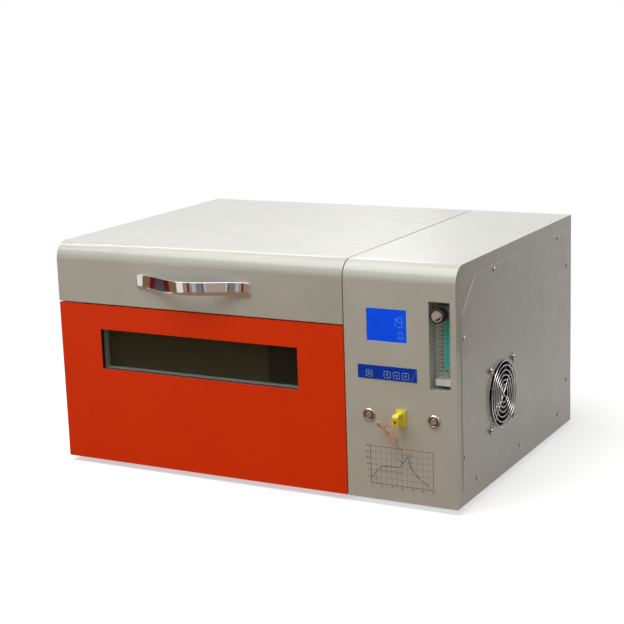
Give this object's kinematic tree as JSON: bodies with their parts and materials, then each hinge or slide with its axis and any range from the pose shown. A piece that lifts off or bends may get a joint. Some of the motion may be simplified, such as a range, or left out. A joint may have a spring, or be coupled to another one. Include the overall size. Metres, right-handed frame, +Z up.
{
  "type": "reflow oven",
  "caption": "Bench-top reflow oven: grey folded-steel cabinet, orange motor-driven drawer with a window, hinged lid with a bow handle, and a control panel on the right.",
  "frame": {"origin": "middle of the part's footprint at the bottom of its rubber feet, measured over the handle, the finger guard and the exhaust spigot", "axes": "+X to the right seen from the front, +Y to the back, +Z up; the front with the drawer and the panel faces -Y"},
  "size_m": [0.6182, 0.496, 0.323],
  "materials": {
    "housing_paint": "warm light grey powder coat, satin",
    "lid_paint": "warm light grey powder coat, satin",
    "drawer_paint": "orange-red powder coat, satin",
    "galvanised": "zinc-plated sheet steel",
    "stainless": "brushed stainless steel",
    "bearing_steel": "zinc-plated slide steel",
    "machined_steel": "machined steel",
    "chrome": "polished chrome plate",
    "screw_steel": "nickel-plated",
    "foot_rubber": "matt black rubber",
    "seal_fibre": "woven glass-fibre rope",
    "wool_board": "ceramic fibre board",
    "quartz": "quartz tube with ceramic ends",
    "black_plastic": "moulded black plastic",
    "motor_casing": "painted motor casing",
    "blower_metal": "pressed aluminium",
    "pinion_brass": "machined brass",
    "window_tint": "smoked heat-resistant glass",
    "lcd_blue": "backlit blue display",
    "board_green": "green circuit board",
    "overlay_blue": "dark blue membrane film",
    "button_metal": "polished nickel",
    "connector_yellow": "yellow glass-filled nylon",
    "lead_sheath": "pinkish-orange thermocouple sheath",
    "pocket_paint": "dark grey-green paint",
    "meter_acrylic": "clear acrylic",
    "meter_metal": "nickel-plated brass",
    "float_black": "black glass ball",
    "valve_brass": "brass and moulded coil",
    "relay_white": "moulded relay on an aluminium heat sink",
    "supply_metal": "perforated aluminium case",
    "switch_red": "red rocker"
  },
  "bodies": {
    "cabinet": {"chassis_base": "galvanised", "rubber_feet": "foot_rubber", "cabinet_wrap": "housing_paint", "control_housing": "housing_paint", "side_cover": "housing_paint", "side_screws": "screw_steel", "fan_guard": "chrome", "side_fan_frame": "black_plastic", "chamber_frame": "galvanised", "chamber_liner": "stainless", "chamber_insulation": "wool_board", "lower_heaters": "quartz", "chamber_seals": "seal_fibre", "convection_motor": "motor_casing", "slide_outer_members": "bearing_steel", "drawer_gearmotor": "motor_casing", "hinge_base_leaves": "machined_steel", "lcd_module": "lcd_blue", "control_board": "board_green", "keypad_overlay": "overlay_blue", "button_housings": "button_metal", "thermocouple_socket": "connector_yellow", "flowmeter_pocket": "pocket_paint", "flowmeter_block": "meter_acrylic", "flowmeter_fittings": "meter_metal", "solenoid_valve": "valve_brass", "nitrogen_inlet": "valve_brass", "relay_bank": "relay_white", "power_supply": "supply_metal", "power_inlet": "black_plastic", "exhaust_spigot": "galvanised"},
    "lid": {"lid_shell": "lid_paint", "lid_handle": "chrome", "lid_liner": "stainless", "lid_insulation": "wool_board", "upper_heaters": "quartz", "hinge_lid_leaves": "machined_steel"},
    "drawer": {"drawer_front": "drawer_paint", "drawer_carriage": "stainless", "window_glass": "window_tint", "pcb_tray": "stainless", "slide_inner_members": "bearing_steel", "drive_rack": "machined_steel"},
    "slide_middles": {"slide_middle_members": "bearing_steel"},
    "pinion": {"drive_pinion": "pinion_brass"},
    "drawer_button_cap": {"drawer_button": "button_metal"},
    "nitrogen_button_cap": {"nitrogen_button": "button_metal"},
    "key_set": {"set_key": "overlay_blue"},
    "key_left": {"left_key": "overlay_blue"},
    "key_down": {"down_key": "overlay_blue"},
    "key_up": {"up_key": "overlay_blue"},
    "valve_knob": {"flowmeter_knob": "black_plastic"},
    "float": {"flowmeter_float": "float_black"},
    "fan_rotor": {"side_fan_rotor": "black_plastic"},
    "impeller": {"convection_impeller": "blower_metal"},
    "rocker": {"mains_rocker": "switch_red"},
    "probe": {"thermocouple_plug": "connector_yellow", "thermocouple_lead": "lead_sheath", "thermocouple_hank": "lead_sheath", "thermocouple_tail": "lead_sheath"}
  },
  "joints": [
    {"name": "lid_hinge", "type": "hinge", "parent": "cabinet", "child": "lid", "pos_m": [-0.08198, 0.2225, 0.238], "axis": [-1, 0, 0], "range_deg": [0, 95]},
    {"name": "drawer_slide", "type": "slide", "parent": "cabinet", "child": "drawer", "axis": [0, -1, 0], "range_m": [0, 0.27]},
    {"name": "slide_middle_travel", "type": "slide", "parent": "cabinet", "child": "slide_middles", "axis": [0, -1, 0], "range_m": [0, 0.135]},
    {"name": "pinion_spin", "type": "hinge", "parent": "cabinet", "child": "pinion", "pos_m": [-0.08198, -0.162, 0.038], "axis": [1, 0, 0], "range_deg": [0, 1032]},
    {"name": "drawer_button_press", "type": "slide", "parent": "cabinet", "child": "drawer_button_cap", "axis": [0, 1, 0], "range_m": [0, 0.0015], "stiffness_N_per_m": 400},
    {"name": "nitrogen_button_press", "type": "slide", "parent": "cabinet", "child": "nitrogen_button_cap", "axis": [0, 1, 0], "range_m": [0, 0.0015], "stiffness_N_per_m": 400},
    {"name": "set_key_press", "type": "slide", "parent": "cabinet", "child": "key_set", "axis": [0, 1, 0], "range_m": [0, 0.0004], "stiffness_N_per_m": 600},
    {"name": "left_key_press", "type": "slide", "parent": "cabinet", "child": "key_left", "axis": [0, 1, 0], "range_m": [0, 0.0004], "stiffness_N_per_m": 600},
    {"name": "down_key_press", "type": "slide", "parent": "cabinet", "child": "key_down", "axis": [0, 1, 0], "range_m": [0, 0.0004], "stiffness_N_per_m": 600},
    {"name": "up_key_press", "type": "slide", "parent": "cabinet", "child": "key_up", "axis": [0, 1, 0], "range_m": [0, 0.0004], "stiffness_N_per_m": 600},
    {"name": "valve_knob_turn", "type": "hinge", "parent": "cabinet", "child": "valve_knob", "pos_m": [0.2801, -0.222, 0.2612], "axis": [0, -1, 0], "range_deg": [0, 1440]},
    {"name": "float_rise", "type": "slide", "parent": "cabinet", "child": "float", "axis": [0, 0, 1], "range_m": [0, 0.0495]},
    {"name": "side_fan_spin", "type": "hinge", "parent": "cabinet", "child": "fan_rotor", "pos_m": [0.2909, -0.07, 0.124], "axis": [1, 0, 0], "continuous": true},
    {"name": "impeller_spin", "type": "hinge", "parent": "cabinet", "child": "impeller", "pos_m": [-0.08198, 0.158, 0.165], "axis": [0, 1, 0], "continuous": true},
    {"name": "mains_rocker_tilt", "type": "hinge", "parent": "cabinet", "child": "rocker", "pos_m": [0.19065, 0.218, 0.091], "axis": [-1, 0, 0], "range_deg": [0, 25]},
    {"name": "probe_unplug", "type": "slide", "parent": "cabinet", "child": "probe", "axis": [0, -1, 0], "range_m": [0, 0.03]}
  ],
  "couplings": [
    {"joint": "slide_middle_travel", "follows": "drawer_slide", "ratio": 0.5},
    {"joint": "pinion_spin", "follows": "drawer_slide", "rad_per_m": 66.667}
  ]
}
